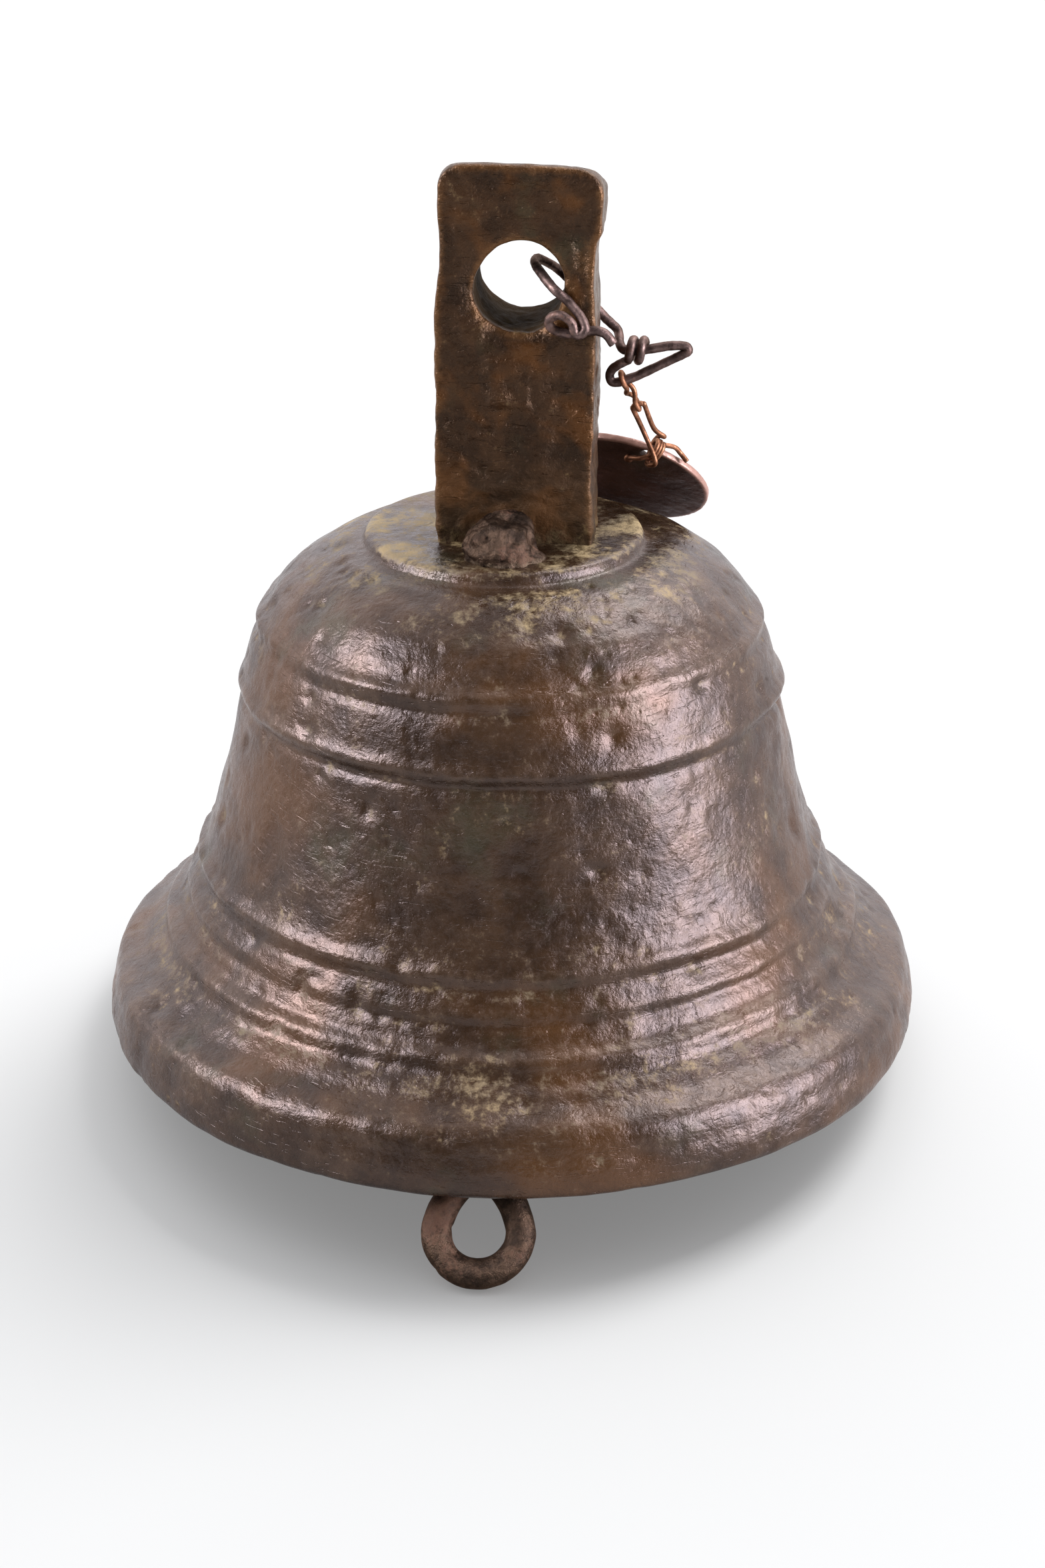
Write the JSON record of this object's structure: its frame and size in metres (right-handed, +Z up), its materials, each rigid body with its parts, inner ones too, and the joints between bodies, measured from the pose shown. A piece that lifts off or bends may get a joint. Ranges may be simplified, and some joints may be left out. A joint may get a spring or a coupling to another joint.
{
  "type": "small church bell",
  "caption": "Small cast bronze bell with a flat hanging bar, an iron clapper with a tail eye, and a round tag wired to the bar.",
  "frame": {"origin": "on the surface that the bell stands on, under the middle of its bounding box", "axes": "+Z up, -Y towards the front, where the clapper's tail eye shows; the bell leans 6 degrees back, towards +Y"},
  "size_m": [0.2008, 0.2064, 0.2237],
  "materials": {
    "bell_bronze": "old cast bronze, purple-brown, pitted and rubbed",
    "bar_bronze": "old bronze, golden brown with rubbed orange edges",
    "rusty_iron": "forged iron, purple-brown with orange rust",
    "ball_iron": "forged iron, dark brown, polished where it strikes",
    "iron_wire": "old iron wire, purple-brown rust",
    "copper_wire": "dull copper wire",
    "tag_bronze": "dark red-brown metal with a rubbed coppery edge"
  },
  "bodies": {
    "bell": {"bell_shell": "bell_bronze", "hanging_bar": "bar_bronze", "crown_staple": "rusty_iron"},
    "clapper": {"clapper_rod": "rusty_iron", "clapper_ball": "ball_iron"},
    "tie_wire": {"iron_tie_wire": "iron_wire"},
    "link": {"copper_link": "copper_wire"},
    "tag_wire": {"copper_tag_wire": "copper_wire"},
    "tag": {"tag_disc": "tag_bronze"}
  },
  "joints": [
    {"name": "clapper_swing", "type": "hinge", "parent": "bell", "child": "clapper", "pos_m": [0, 0.01291, 0.10683], "axis": [0.9969, -0.078, 0.0083], "range_deg": [0, 83]},
    {"name": "tie_wire_lift", "type": "hinge", "parent": "bell", "child": "tie_wire", "pos_m": [0.00797, 0.02176, 0.19639], "axis": [-0.0785, -0.9914, 0.1049], "range_deg": [0, 18]},
    {"name": "link_swing", "type": "hinge", "parent": "tie_wire", "child": "link", "pos_m": [0.02675, 0.02529, 0.16756], "axis": [0.9177, -0.0595, 0.3929], "range_deg": [0, 50]},
    {"name": "tag_wire_swing", "type": "hinge", "parent": "link", "child": "tag_wire", "pos_m": [0.03062, 0.02892, 0.15906], "axis": [0.0919, -0.9301, -0.3555], "range_deg": [0, 35]},
    {"name": "tag_flap", "type": "hinge", "parent": "tag_wire", "child": "tag", "pos_m": [0.03637, 0.03705, 0.14279], "axis": [0.8729, 0.0777, -0.4817], "range_deg": [0, 35]}
  ]
}
